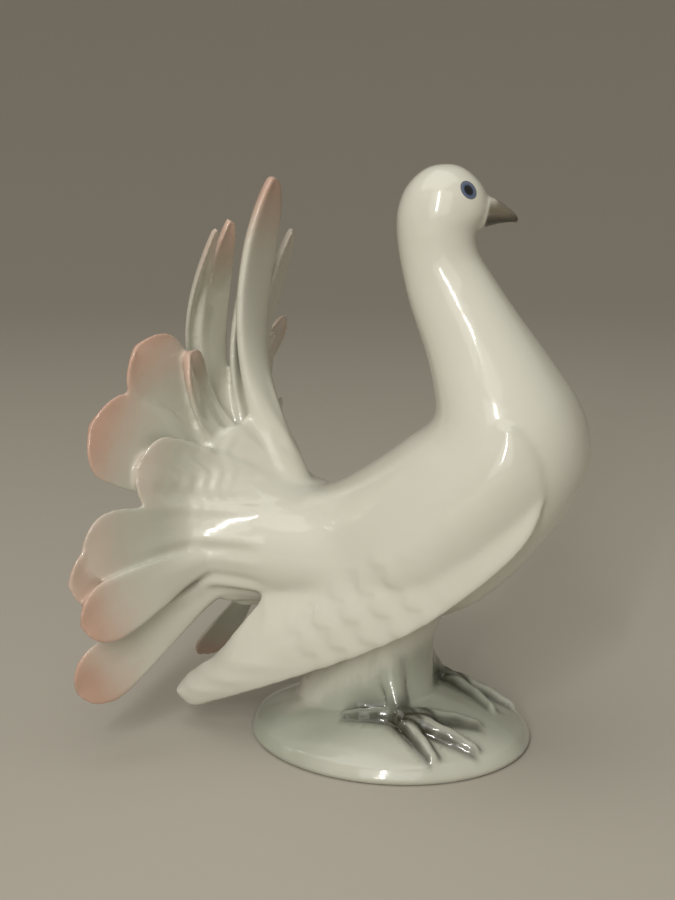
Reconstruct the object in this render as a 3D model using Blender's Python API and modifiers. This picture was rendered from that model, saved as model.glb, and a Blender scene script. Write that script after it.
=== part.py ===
# Porcelain fantail dove on a low domed oval base, cast as one piece.
# Metres, +Z up, +X the way the dove faces, +Y its left side.
# The origin is the middle of the flat underside.

import math

import bmesh
import bpy
from mathutils import Vector

# Driving sizes, in metres

HEIGHT = 0.163
BASE_LENGTH = 0.083
BASE_WIDTH = 0.074
BASE_EDGE = 0.0032
BASE_DOME = 0.0170
FEATHER_THICKNESS = 0.0036
WING_RELIEF = 0.0022
TOE_RADIUS = 0.0020

# Fineness of the joined surface

VOXEL = 0.00085
SMOOTHING = 4
BODY_SMOOTHING = 14
TRIANGLES = 9600

# The pose is given in 163rds of the height, so that it grows with HEIGHT
PART = HEIGHT / 163.0

# Dove: rear point, front point and half width of each section, crown to vent
SECTIONS = [
    ((12.2, 163.4), (17.2, 163.5), 2.2),
    ((8.4, 161.8), (20.8, 161.8), 6.4),
    ((4.2, 157.4), (25.0, 157.4), 10.0),
    ((2.0, 151.4), (26.4, 151.4), 11.4),
    ((1.8, 145.8), (23.4, 145.6), 11.0),
    ((2.4, 140.4), (24.0, 140.4), 10.4),
    ((3.6, 134.6), (27.2, 135.2), 10.6),
    ((5.6, 127.4), (32.6, 127.6), 11.8),
    ((8.6, 120.0), (39.0, 119.4), 13.8),
    ((11.8, 112.4), (45.6, 110.8), 16.8),
    ((14.2, 104.8), (52.0, 101.4), 20.6),
    ((15.2, 98.8), (55.6, 91.6), 23.6),
    ((12.8, 94.6), (55.4, 82.4), 25.4),
    ((8.0, 91.0), (51.4, 72.4), 26.6),
    ((2.4, 86.6), (44.6, 62.2), 27.2),
    ((-4.0, 82.0), (36.4, 52.2), 27.2),
    ((-10.6, 77.6), (26.0, 43.0), 26.6),
    ((-16.6, 74.2), (12.0, 37.2), 25.0),
    ((-22.4, 72.4), (-5.0, 36.8), 24.6),
    ((-27.6, 74.0), (-17.0, 37.4), 24.4),
    ((-31.4, 79.0), (-26.6, 37.4), 25.6),
    ((-34.6, 86.0), (-33.4, 36.2), 27.8),
    ((-38.0, 92.0), (-38.0, 35.0), 29.6),
    ((-41.2, 90.0), (-41.4, 38.0), 26.0),
    ((-43.6, 74.0), (-43.6, 52.0), 11.0),
]
SECTION_FULLNESS = 2.3
FLARE = (18.0, 34.0)
FLARE_SWEEP = 0.42
HEAD_TURN = math.radians(22.0)
HEAD_PIVOT = 13.0
HEAD_TURN_FROM = 122.0
HEAD_TURN_TO = 146.0

# Beak: distance along it, upper and lower height, half width
BEAK = [
    (21.0, 156.4, 145.6, 5.6),
    (25.4, 155.4, 146.6, 4.6),
    (29.0, 154.0, 147.6, 3.4),
    (32.4, 151.6, 148.0, 2.3),
    (34.4, 149.6, 147.8, 1.3),
]

# Wing: its lower and upper edges, and how far out it lies, from the bend to the tip
WING_LOWER = [
    (43.0, 98.0),
    (48.4, 90.0),
    (49.8, 80.0),
    (47.6, 70.0),
    (40.6, 60.5),
    (30.0, 50.6),
    (18.6, 41.6),
    (7.0, 34.6),
    (-6.0, 28.0),
    (-20.0, 21.4),
    (-34.0, 15.0),
    (-45.0, 10.0),
    (-55.0, 5.8),
    (-60.8, 7.6),
]
WING_UPPER = [
    (36.0, 99.0),
    (30.0, 98.0),
    (22.0, 96.0),
    (13.0, 92.0),
    (4.0, 86.0),
    (-4.0, 79.0),
    (-12.0, 70.0),
    (-20.0, 61.0),
    (-27.0, 51.0),
    (-33.0, 41.0),
    (-40.0, 31.0),
    (-47.6, 22.6),
    (-56.0, 16.2),
    (-61.4, 11.0),
]
WING_SPREAD = [13.0, 18.5, 23.0, 26.0, 27.4, 27.4, 26.4, 23.4, 19.4]

# Tail, top down: row, tip, backward bulge, half width, turn, thickness share
# and where along each feather its rounded end begins
# Tips are given as distance out from the middle line on that side
ROOT_FRONT = (-30.0, 70.0)
ROOT_BACK = (-37.0, 66.0)
ROOT_DROP = 14.0
ARCH = 3.5
FAN_ROOT = Vector((-38.0, 0.0, 64.0))
CENTRE_FEATHER = ("front", (-36.8, 0.0, 160.2), 10.8, 9.2, 0.0, 1.45, 0.75)
RIGHT_FEATHERS = [
    ("back", (-45.4, 10.0, 148.4), 14.6, 7.2, 8.0, 1.05, 0.6),
    ("back", (-43.2, 22.0, 146.6), 19.0, 4.0, 12.0, 0.75, 0.62),
    ("front", (-50.3, 26.0, 112.4), 9.0, 8.0, -14.0, 0.95, 0.86),
    ("back", (-58.0, 40.0, 115.6), 5.0, 11.0, 22.0, 0.95, 0.86),
    ("back", (-65.4, 52.0, 95.4), 2.0, 12.8, 26.0, 1.0, 0.86),
    ("front", (-58.0, 42.0, 82.0), 2.0, 10.8, 36.0, 0.95, 0.86),
    ("front", (-66.0, 57.0, 61.0), 2.0, 10.4, 34.0, 1.0, 0.86),
    ("back", (-67.8, 61.0, 52.7), 3.0, 9.6, 20.0, 0.95, 0.86),
    ("front", (-65.0, 60.0, 41.5), 1.0, 9.2, 30.0, 1.05, 0.86),
    ("front", (-71.5, 54.0, 19.2), 1.0, 9.8, 26.0, 1.05, 0.86),
]
LEFT_FEATHERS = [
    ("back", (-44.7, 10.0, 148.2), 10.0, 6.8, 8.0, 0.95, 0.5),
    ("back", (-41.8, 22.0, 144.8), 8.0, 6.4, 12.0, 0.95, 0.7),
    ("back", (-50.3, 26.0, 112.4), 9.0, 7.6, 20.0, 0.95, 0.86),
    ("back", (-54.4, 42.0, 115.4), 11.0, 7.2, 22.0, 0.95, 0.86),
    ("back", (-65.4, 52.0, 95.4), 2.0, 11.6, 26.0, 1.0, 0.86),
    ("front", (-58.0, 42.0, 82.0), 2.0, 10.8, 36.0, 0.95, 0.86),
    ("front", (-66.0, 57.0, 61.0), 2.0, 10.4, 34.0, 1.0, 0.86),
    ("back", (-67.8, 61.0, 52.7), 3.0, 9.6, 20.0, 0.95, 0.86),
    ("front", (-65.0, 60.0, 41.5), 1.0, 9.2, 30.0, 1.05, 0.86),
    ("front", (-71.0, 50.0, 19.6), 1.0, 9.4, 26.0, 1.05, 0.86),
    ("front", (-69.6, 12.0, 9.6), 1.0, 6.4, -30.0, 0.95, 0.86),
]

# Web: the thick inner part of each half of the fan
WEB_ROOT = (-39.4, 65.0)
WEB_RADIUS = 32.0
WEB_THICKNESS = 4.4
WEB_SWEEP = math.radians(24.0)
WEB_SPAN = (math.radians(5.0), math.radians(162.0))

# Column under the belly: height, rear, front and half width
COLUMN = [
    (2.0, -30.0, 17.0, 20.0),
    (10.0, -28.0, 15.0, 18.4),
    (17.0, -25.4, 13.0, 17.0),
    (26.0, -20.0, 12.4, 16.4),
    (36.0, -15.0, 15.0, 16.0),
    (44.0, -14.0, 20.0, 17.0),
]

# Leg: point and radius down from the foot's middle to the belly, then the toes' tips
FOOT = (9.8, 17.0)
LEG = [
    (*FOOT, 10.0, 3.4),
    (8.0, 14.6, 17.0, 3.0),
    (5.0, 11.6, 23.0, 4.0),
    (2.0, 9.0, 34.0, 6.0),
]
TOES = [
    ((30.6, 5.6), 1.0),
    ((33.6, 16.6), 1.1),
    ((24.6, 26.8), 1.0),
    ((-6.4, 20.6), 0.85),
]


def spline(points, share):
    """Point at share 0..1 along a smooth curve through the points."""
    last = len(points) - 1
    place = min(max(share, 0.0), 1.0) * last
    at = min(int(place), last - 1)
    t = place - at
    before = points[max(at - 1, 0)]
    start = points[at]
    end = points[at + 1]
    after = points[min(at + 2, last)]
    values = []
    for a, b, c, d in zip(before, start, end, after):
        values.append(
            b + 0.5 * t * (c - a + t * (2 * a - 5 * b + 4 * c - d + t * (3 * (b - c) + d - a)))
        )
    return values


def ease(value, low, high):
    t = min(max((value - low) / (high - low), 0.0), 1.0)
    return t * t * (3.0 - 2.0 * t)


def mesh_object(name, bm, collection):
    bmesh.ops.recalc_face_normals(bm, faces=bm.faces)
    mesh = bpy.data.meshes.new(name)
    bm.to_mesh(mesh)
    bm.free()
    obj = bpy.data.objects.new(name, mesh)
    collection.objects.link(obj)
    return obj


def loft(name, rings, collection):
    """Closed skin through rings of equal count, each end filled."""
    bm = bmesh.new()
    rows = []
    for ring in rings:
        rows.append([bm.verts.new(Vector(point) * PART) for point in ring])
    count = len(rows[0])
    for row, following in zip(rows, rows[1:]):
        for i in range(count):
            j = (i + 1) % count
            bm.faces.new((row[i], row[j], following[j], following[i]))
    for row in (rows[0], rows[-1]):
        centre = bm.verts.new(sum((v.co for v in row), Vector()) / count)
        for i in range(count):
            bm.faces.new((row[i], row[(i + 1) % count], centre))
    return mesh_object(name, bm, collection)


def flat_sections():
    return [(*rear, *front, width) for rear, front, width in SECTIONS]


def turned(point):
    """The head turns a little to the dove's left, about a line up the neck."""
    x, y, z = point
    angle = HEAD_TURN * ease(z, HEAD_TURN_FROM, HEAD_TURN_TO)
    dx = x - HEAD_PIVOT
    return (
        HEAD_PIVOT + dx * math.cos(angle) - y * math.sin(angle),
        dx * math.sin(angle) + y * math.cos(angle),
        z,
    )


def body_ring(section, around):
    rx, rz, fx, fz, width = section
    ring = []
    for i in range(around):
        a = 2.0 * math.pi * i / around
        along = 0.5 - 0.5 * math.cos(a)
        x = rx + (fx - rx) * along
        z = rz + (fz - rz) * along
        y = width * math.copysign(abs(math.sin(a)) ** (2.0 / SECTION_FULLNESS), math.sin(a))
        x -= FLARE_SWEEP * abs(y) * ease(-x, *FLARE)
        ring.append(turned((x, y, z)))
    return ring


def build_body(collection, steps=90, around=48):
    sections = flat_sections()
    rings = []
    for i in range(steps + 1):
        rings.append(body_ring(spline(sections, i / steps), around))
    return loft("body", rings, collection)


def build_beak(collection, steps=14, around=20):
    rings = []
    for i in range(steps + 1):
        x, top, low, width = spline(BEAK, i / steps)
        ring = []
        for k in range(around):
            a = 2.0 * math.pi * k / around
            z = (top + low) / 2.0 + (top - low) / 2.0 * math.sin(a)
            ring.append(turned((x, width * math.cos(a), z)))
        rings.append(ring)
    return loft("beak", rings, collection)


def flank_finder(steps=160):
    """Returns the body's half width at a point of its side view."""
    sections = [spline(flat_sections(), i / steps) for i in range(steps + 1)]

    def flank(x, z):
        best = None
        for rx, rz, fx, fz, width in sections:
            dx = fx - rx
            dz = fz - rz
            size = dx * dx + dz * dz
            t = ((x - rx) * dx + (z - rz) * dz) / size
            off = abs((x - rx) * dz - (z - rz) * dx) / math.sqrt(size)
            if best is None or off < best[0]:
                best = (off, t, width)
        off, t, width = best
        inside = 1.0 - (2.0 * t - 1.0) ** 2
        if inside <= 0.0:
            return 0.0
        return width * inside ** (1.0 / SECTION_FULLNESS) * max(0.0, 1.0 - (off / 12.0) ** 2)

    return flank


def build_wing(side, flank, collection, steps=56, across=18):
    """Folded wing lying on the flank, free of the body towards its tip."""
    relief = WING_RELIEF / PART
    rings = []
    for i in range(steps + 1):
        u = i / steps
        low = spline(WING_LOWER, u)
        high = spline(WING_UPPER, u)
        spread = spline([(value,) for value in WING_SPREAD], u)[0]
        free = ease(u, 0.5, 0.78)
        outer = []
        inner = []
        for k in range(across + 1):
            v = 0.5 - 0.5 * math.cos(math.pi * k / across)
            x = low[0] + (high[0] - low[0]) * v
            z = low[1] + (high[1] - low[1]) * v
            sunk = ease(v, 0.3, 0.95) * (1.0 - free)
            lying = flank(x, z) + relief - (relief + 1.6) * sunk
            blade = spread - 7.0 * max(0.0, v - 0.35) ** 2 - 3.0 * max(0.0, 0.35 - v) ** 2 - 9.0 * sunk
            y = max(lying, blade)
            edge = math.sqrt(max(0.0, math.sin(math.pi * v)))
            thick = 2.6 + 5.0 * (1.0 - free)
            outer.append((x, side * (y - 1.5 * (1.0 - edge)), z))
            inner.append((x, side * (y - 1.5 - thick * edge), z))
        rings.append(outer + inner[-2:0:-1])
    return loft("wing", rings, collection)


def feather_rings(row, tip, bulge, half, turn, heavy, blunt, side, steps=22, across=10):
    """Spoon shaped feather, its face turned forward and hollowed a little."""
    start = ROOT_FRONT if row == "front" else ROOT_BACK
    stout = ease(tip[2], 50.0, 112.0)
    root = Vector((start[0], 0.0, start[1] - ROOT_DROP * (1.0 - stout)))
    end = Vector((tip[0], side * tip[1], tip[2]))
    axis = end - root
    length = axis.length
    face = Vector((math.cos(math.radians(turn)), side * math.sin(math.radians(turn)), 0.0))
    face = (face - axis * face.dot(axis) / length**2).normalized()
    thick = heavy * FEATHER_THICKNESS / PART / 2.0
    arch = ARCH * ease(tip[2], 5.0, 30.0) * (1.0 - stout)
    above = face.cross(axis).normalized()
    above = above * math.copysign(arch, above.z)
    narrow = 0.42 + 0.28 * stout
    broad = (0.3 - 0.2 * stout, 0.9 - 0.12 * stout)
    swell = 0.3 + 0.8 * stout
    rings = []
    for i in range(steps + 1):
        s = math.sin(0.5 * math.pi * i / steps)
        shape = narrow + (1.0 - narrow) * ease(s, *broad)
        cap = math.sqrt(max(0.0, 1.0 - max(0.0, (s - blunt) / (1.0 - blunt)) ** 2))
        wide = max(half * shape * cap, 0.35)
        centre = root + axis * s + (above - face * bulge) * math.sin(math.pi * s)
        ahead = (axis + (above - face * bulge) * (math.pi * math.cos(math.pi * s))).normalized()
        out = ahead.cross(face).normalized()
        up = out.cross(ahead).normalized()
        body = thick * (0.35 + 0.65 * cap) * (1.0 + swell * (1.0 - ease(s, 0.0, 0.55)))
        ring = []
        for k in range(2 * across):
            a = math.pi * k / across
            c = math.cos(a)
            hollow = 1.6 * c * c * ease(s, 0.3, 0.8)
            rim = math.copysign(abs(math.sin(a)) ** 0.7, math.sin(a))
            lift = hollow + body * rim * (1.0 - 0.25 * c * c)
            ring.append(centre + out * (wide * c) + up * lift)
        rings.append(ring)
    return rings


def build_tail(collection):
    feathers = [(1.0, *CENTRE_FEATHER)]
    feathers += [(-1.0, *feather) for feather in RIGHT_FEATHERS]
    feathers += [(1.0, *feather) for feather in LEFT_FEATHERS]
    parts = []
    for side, *shape in feathers:
        rings = feather_rings(*shape, side)
        parts.append(loft("feather", rings, collection))
    return parts


def build_web(side, collection, steps=30, around=24):
    """Lens shaped plate, swept back, that the feathers of one half grow out of."""
    out = Vector((-math.sin(WEB_SWEEP), side * math.cos(WEB_SWEEP), 0.0))
    face = Vector((math.cos(WEB_SWEEP), side * math.sin(WEB_SWEEP), 0.0))
    root = Vector((WEB_ROOT[0], 0.0, WEB_ROOT[1]))
    rings = []
    for i in range(steps + 1):
        share = i / steps
        tilt = WEB_SPAN[0] + (WEB_SPAN[1] - WEB_SPAN[0]) * share
        full = math.sqrt(max(0.02, 1.0 - abs(2.0 * share - 1.0) ** 3))
        ahead = Vector((0.0, 0.0, math.cos(tilt))) + out * math.sin(tilt)
        ring = []
        for k in range(around):
            a = 2.0 * math.pi * k / around
            along = WEB_RADIUS * full * (0.54 + 0.46 * math.cos(a))
            thick = WEB_THICKNESS * full * math.sin(a) * (1.0 - 0.35 * math.cos(a))
            ring.append(root + ahead * along + face * thick)
        rings.append(ring)
    return loft("web", rings, collection)


def build_column(collection, steps=20, around=32):
    rings = []
    for i in range(steps + 1):
        z, rear, front, width = spline(COLUMN, i / steps)
        ring = []
        for k in range(around):
            a = 2.0 * math.pi * k / around
            x = (rear + front) / 2.0 + (front - rear) / 2.0 * math.cos(a)
            ring.append((x, width * math.sin(a), z))
        rings.append(ring)
    return loft("column", rings, collection)


def dome_height(share):
    """Height of the base's top at a share of the way out to its edge, in pose units."""
    edge = BASE_EDGE / PART
    rise = (BASE_DOME - BASE_EDGE) / PART
    return edge + rise * (1.0 - min(share, 1.0) ** 1.25) ** 0.8


def build_base(collection, around=72):
    length = BASE_LENGTH / PART / 2.0
    width = BASE_WIDTH / PART / 2.0
    edge = BASE_EDGE / PART
    profile = [(0.975, 0.0), (0.995, 0.25 * edge), (1.0, 0.55 * edge), (0.985, 0.85 * edge)]
    for i in range(14):
        share = 0.95 - 0.9 * i / 13
        profile.append((share, dome_height(share)))
    rings = []
    for share, z in profile:
        ring = []
        for k in range(around):
            a = 2.0 * math.pi * k / around
            ring.append((length * share * math.cos(a), width * share * math.sin(a), z))
        rings.append(ring)
    return loft("base", rings, collection)


def build_toe(tip, heavy, side, collection, steps=16, around=12):
    """Toe lying half sunk in the dome, with soft knuckles."""
    length = BASE_LENGTH / PART / 2.0
    width = BASE_WIDTH / PART / 2.0
    radius = TOE_RADIUS / PART * heavy
    start = Vector((FOOT[0], FOOT[1]))
    end = Vector(tip)
    ahead = (end - start).normalized()
    out = Vector((-ahead.y, ahead.x))
    rings = []
    for i in range(steps + 1):
        s = math.sin(0.5 * math.pi * i / steps)
        place = start + (end - start) * s
        share = math.hypot(place.x / length, place.y / width)
        knuckle = 1.0 + 0.07 * math.cos(3.0 * 2.0 * math.pi * s)
        cap = math.sqrt(max(0.0, 1.0 - max(0.0, (s - 0.9) / 0.1) ** 2))
        r = max(radius * (1.25 - 0.5 * s) * knuckle * cap, 0.2)
        z = dome_height(share) + 0.35 * r
        ring = []
        for k in range(around):
            a = 2.0 * math.pi * k / around
            flat = place + out * (r * math.cos(a))
            ring.append((flat.x, side * flat.y, z + 1.1 * r * math.sin(a)))
        rings.append(ring)
    return loft("toe", rings, collection)


def build_leg(side, collection, steps=12, around=14):
    rings = []
    for i in range(steps + 1):
        x, y, z, r = spline(LEG, i / steps)
        ring = []
        for k in range(around):
            a = 2.0 * math.pi * k / around
            ring.append((x + r * math.cos(a), side * (y + r * math.sin(a)), z))
        rings.append(ring)
    return loft("leg", rings, collection)


def join(objects):
    target = objects[0]
    bm = bmesh.new()
    for obj in objects:
        bm.from_mesh(obj.data)
    bm.to_mesh(target.data)
    bm.free()
    for obj in objects[1:]:
        bpy.data.objects.remove(obj, do_unlink=True)
    return target


def applied(obj):
    """Replaces the object's mesh by its evaluated one and drops its modifiers."""
    graph = bpy.context.evaluated_depsgraph_get()
    mesh = bpy.data.meshes.new_from_object(obj.evaluated_get(graph))
    obj.modifiers.clear()
    obj.data = mesh


def largest_body(obj):
    """Keeps the largest connected surface and drops any stray shell."""
    bm = bmesh.new()
    bm.from_mesh(obj.data)
    left = set(bm.verts)
    groups = []
    while left:
        seed = left.pop()
        group = {seed}
        front = [seed]
        while front:
            vert = front.pop()
            for edge in vert.link_edges:
                other = edge.other_vert(vert)
                if other in left:
                    left.remove(other)
                    group.add(other)
                    front.append(other)
        groups.append(group)
    groups.sort(key=len)
    for group in groups[:-1]:
        bmesh.ops.delete(bm, geom=list(group), context="VERTS")
    bm.to_mesh(obj.data)
    bm.free()


def mark_body(obj):
    """Weights the plain surfaces of body and fan root, away from feather tips, beak and feet."""
    group = obj.vertex_groups.new(name="body")
    for vert in obj.data.vertices:
        x, _, z = vert.co / PART
        rear = -50.0 + 10.0 * ease(z, 78.0, 96.0)
        weight = ease(x, rear, rear + 16.0) * ease(z, 16.0, 30.0)
        weight = max(weight, 1.0 - ease((vert.co / PART - FAN_ROOT).length, 32.0, 46.0))
        weight *= 1.0 - ease(x, 23.0, 27.0) * ease(z, 140.0, 144.0)
        group.add([vert.index], weight, "REPLACE")


def fuse(obj):
    remesh = obj.modifiers.new("fuse", "REMESH")
    remesh.mode = "VOXEL"
    remesh.voxel_size = VOXEL
    applied(obj)
    mark_body(obj)
    for name, group, iterations in (("soften", "", SMOOTHING), ("body", "body", BODY_SMOOTHING)):
        soften = obj.modifiers.new(name, "SMOOTH")
        soften.factor = 0.5
        soften.iterations = iterations
        soften.vertex_group = group
    applied(obj)
    obj.vertex_groups.clear()
    largest_body(obj)
    count = 2 * len(obj.data.polygons)
    thin = obj.modifiers.new("thin", "DECIMATE")
    thin.ratio = TRIANGLES / count
    applied(obj)


def flatten_underside(obj, collection):
    """Cuts the underside flat at the ground."""
    bpy.ops.mesh.primitive_cube_add(size=0.4, location=(0.0, 0.0, -0.2 + 0.0004))
    cutter = bpy.context.active_object
    cutter.name = "ground_cutter"
    for other in list(cutter.users_collection):
        other.objects.unlink(cutter)
    collection.objects.link(cutter)
    cutter.hide_render = True
    cutter.display_type = "WIRE"
    cut = obj.modifiers.new("flat", "BOOLEAN")
    cut.operation = "DIFFERENCE"
    cut.solver = "EXACT"
    cut.object = cutter
    applied(obj)
    for vert in obj.data.vertices:
        vert.co.z -= 0.0004
    obj.data.update()


def porcelain():
    material = bpy.data.materials.new("glazed_porcelain")
    material.use_nodes = True
    shader = material.node_tree.nodes["Principled BSDF"]
    shader.inputs["Base Color"].default_value = (0.76, 0.74, 0.66, 1.0)
    shader.inputs["Roughness"].default_value = 0.12
    return material


def main():
    for obj in list(bpy.data.objects):
        bpy.data.objects.remove(obj, do_unlink=True)
    scene = bpy.context.scene.collection
    parts = bpy.data.collections.new("fantail_dove")
    cutters = bpy.data.collections.new("cutters")
    scene.children.link(parts)
    scene.children.link(cutters)
    flank = flank_finder()
    pieces = [build_body(parts), build_beak(parts), build_column(parts), build_base(parts)]
    for side in (-1.0, 1.0):
        pieces.append(build_wing(side, flank, parts))
        pieces.append(build_leg(side, parts))
        pieces.append(build_web(side, parts))
        for tip, heavy in TOES:
            pieces.append(build_toe(tip, heavy, side, parts))
    pieces += build_tail(parts)
    dove = join(pieces)
    dove.name = "fantail_dove"
    fuse(dove)
    flatten_underside(dove, cutters)
    dove.data.materials.clear()
    dove.data.materials.append(porcelain())


main()
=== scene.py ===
import math

import bmesh
import bpy
import numpy as np
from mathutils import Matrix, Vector
from mathutils.kdtree import KDTree


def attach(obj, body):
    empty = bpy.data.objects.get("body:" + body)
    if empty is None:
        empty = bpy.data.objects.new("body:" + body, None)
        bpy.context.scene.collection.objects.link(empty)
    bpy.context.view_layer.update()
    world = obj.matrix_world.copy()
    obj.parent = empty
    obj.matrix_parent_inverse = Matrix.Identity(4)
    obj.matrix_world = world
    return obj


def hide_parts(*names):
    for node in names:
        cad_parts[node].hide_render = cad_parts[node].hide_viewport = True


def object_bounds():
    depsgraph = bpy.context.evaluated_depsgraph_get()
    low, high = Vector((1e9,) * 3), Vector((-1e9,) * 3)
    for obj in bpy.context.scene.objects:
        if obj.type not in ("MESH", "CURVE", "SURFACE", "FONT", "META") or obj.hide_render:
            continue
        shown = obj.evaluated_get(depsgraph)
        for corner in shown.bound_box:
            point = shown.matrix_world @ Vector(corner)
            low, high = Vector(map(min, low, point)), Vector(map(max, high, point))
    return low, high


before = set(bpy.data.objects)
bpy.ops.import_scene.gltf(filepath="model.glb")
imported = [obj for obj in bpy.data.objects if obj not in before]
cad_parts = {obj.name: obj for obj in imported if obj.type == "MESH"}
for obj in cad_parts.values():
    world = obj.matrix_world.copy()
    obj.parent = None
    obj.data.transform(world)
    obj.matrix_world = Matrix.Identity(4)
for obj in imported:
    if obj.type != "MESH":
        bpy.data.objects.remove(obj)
cad_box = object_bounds()

# The figure's own sizes, as in the solid, in metres

HEIGHT = 0.163
BASE_LENGTH = 0.083
BASE_WIDTH = 0.074
BASE_EDGE = 0.0032
BASE_DOME = 0.0170
FEATHER_THICKNESS = 0.0036
WING_RELIEF = 0.0022
TOE_RADIUS = 0.0020

# Fineness of the joined surface

VOXEL = 0.00055
SMOOTHING = 8
BODY_SMOOTHING = 32
TRIANGLES = 190000
BOX_MARGIN = 0.00003

# Fine carving, in pose units: heights, and the size of one small flank feather
RIDGE_COUNT = 3
RIDGE_FIRST = 0.76
RIDGE_STEP = 0.07
RIDGE_HEIGHT = 0.34
FLANK_ROW = 8.5
FLANK_LANE = 7.5
FLANK_HEIGHT = 0.50
FLANK_AHEAD = (0.75, 0.66)
FURROW_HEIGHT = 0.42
CARVING_SOFTENING = 6
LAST_SMOOTHING = 2

# Folds at the tail's root: middle and reach in the side view, crest to crest, height
FOLD_MIDDLE = (-47.0, 79.0)
FOLD_REACH = (6.0, 7.5)
FOLD_LENGTH = 2.8
FOLD_HEIGHT = 0.3

# The pose is given in 163rds of the height
PART = HEIGHT / 163.0

# Dove: rear point, front point and half width of each section, crown to vent
SECTIONS = [
    ((12.2, 163.4), (17.2, 163.5), 2.2),
    ((8.4, 161.8), (20.8, 161.8), 6.4),
    ((4.2, 157.4), (25.0, 157.4), 10.0),
    ((2.0, 151.4), (26.4, 151.4), 11.4),
    ((1.8, 145.8), (23.4, 145.6), 11.0),
    ((2.4, 140.4), (24.0, 140.4), 10.4),
    ((3.6, 134.6), (27.2, 135.2), 10.6),
    ((5.6, 127.4), (32.6, 127.6), 11.8),
    ((8.6, 120.0), (39.0, 119.4), 13.8),
    ((11.8, 112.4), (45.6, 110.8), 16.8),
    ((14.2, 104.8), (52.0, 101.4), 20.6),
    ((15.2, 98.8), (55.6, 91.6), 23.6),
    ((12.8, 94.6), (55.4, 82.4), 25.4),
    ((8.0, 91.0), (51.4, 72.4), 26.6),
    ((2.4, 86.6), (44.6, 62.2), 27.2),
    ((-4.0, 82.0), (36.4, 52.2), 27.2),
    ((-10.6, 77.6), (26.0, 43.0), 26.6),
    ((-16.6, 74.2), (12.0, 37.2), 25.0),
    ((-22.4, 72.4), (-5.0, 36.8), 24.6),
    ((-27.6, 74.0), (-17.0, 37.4), 24.4),
    ((-31.4, 79.0), (-26.6, 37.4), 25.6),
    ((-34.6, 86.0), (-33.4, 36.2), 27.8),
    ((-38.0, 92.0), (-38.0, 35.0), 29.6),
    ((-41.2, 90.0), (-41.4, 38.0), 26.0),
    ((-43.6, 74.0), (-43.6, 52.0), 11.0),
]
SECTION_FULLNESS = 2.3
FLARE = (18.0, 34.0)
FLARE_SWEEP = 0.42
HEAD_TURN = math.radians(22.0)
HEAD_PIVOT = 13.0
HEAD_TURN_FROM = 122.0
HEAD_TURN_TO = 146.0

# Beak: distance along it, upper and lower height, half width
BEAK = [
    (21.0, 156.4, 145.6, 5.6),
    (25.4, 155.4, 146.6, 4.6),
    (29.0, 154.0, 147.6, 3.4),
    (32.4, 151.6, 148.0, 2.3),
    (34.4, 149.6, 147.8, 1.3),
]

# Wing: its lower and upper edges, and how far out it lies, from the bend to the tip
WING_LOWER = [
    (43.0, 98.0),
    (48.4, 90.0),
    (49.8, 80.0),
    (47.6, 70.0),
    (40.6, 60.5),
    (30.0, 50.6),
    (18.6, 41.6),
    (7.0, 34.6),
    (-6.0, 28.0),
    (-20.0, 21.4),
    (-34.0, 15.0),
    (-45.0, 10.0),
    (-55.0, 5.8),
    (-60.8, 7.6),
]
WING_UPPER = [
    (36.0, 99.0),
    (30.0, 98.0),
    (22.0, 96.0),
    (13.0, 92.0),
    (4.0, 86.0),
    (-4.0, 79.0),
    (-12.0, 70.0),
    (-20.0, 61.0),
    (-27.0, 51.0),
    (-33.0, 41.0),
    (-40.0, 31.0),
    (-47.6, 22.6),
    (-56.0, 16.2),
    (-61.4, 11.0),
]
WING_SPREAD = [13.0, 18.5, 23.0, 26.0, 27.4, 27.4, 26.4, 23.4, 19.4]

# Tail, top down: row, tip, backward bulge, half width, turn, thickness share
# and where along each feather its rounded end begins
# Tips are given as distance out from the middle line on that side
ROOT_FRONT = (-30.0, 70.0)
ROOT_BACK = (-37.0, 66.0)
ROOT_DROP = 14.0
ARCH = 3.5
FAN_ROOT = (-38.0, 0.0, 64.0)
CENTRE_FEATHER = ("front", (-36.8, 0.0, 160.2), 10.8, 9.2, 0.0, 1.45, 0.75)
RIGHT_FEATHERS = [
    ("back", (-45.4, 10.0, 148.4), 14.6, 7.2, 8.0, 1.05, 0.6),
    ("back", (-43.2, 22.0, 146.6), 19.0, 4.0, 12.0, 0.75, 0.62),
    ("front", (-50.3, 26.0, 112.4), 9.0, 8.0, -14.0, 0.95, 0.86),
    ("back", (-58.0, 40.0, 115.6), 5.0, 11.0, 22.0, 0.95, 0.86),
    ("back", (-65.4, 52.0, 95.4), 2.0, 12.8, 26.0, 1.0, 0.86),
    ("front", (-58.0, 42.0, 82.0), 2.0, 10.8, 36.0, 0.95, 0.86),
    ("front", (-66.0, 57.0, 61.0), 2.0, 10.4, 34.0, 1.0, 0.86),
    ("back", (-67.8, 61.0, 52.7), 3.0, 9.6, 20.0, 0.95, 0.86),
    ("front", (-65.0, 60.0, 41.5), 1.0, 9.2, 30.0, 1.05, 0.86),
    ("front", (-71.5, 54.0, 19.2), 1.0, 9.8, 26.0, 1.05, 0.86),
]
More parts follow.
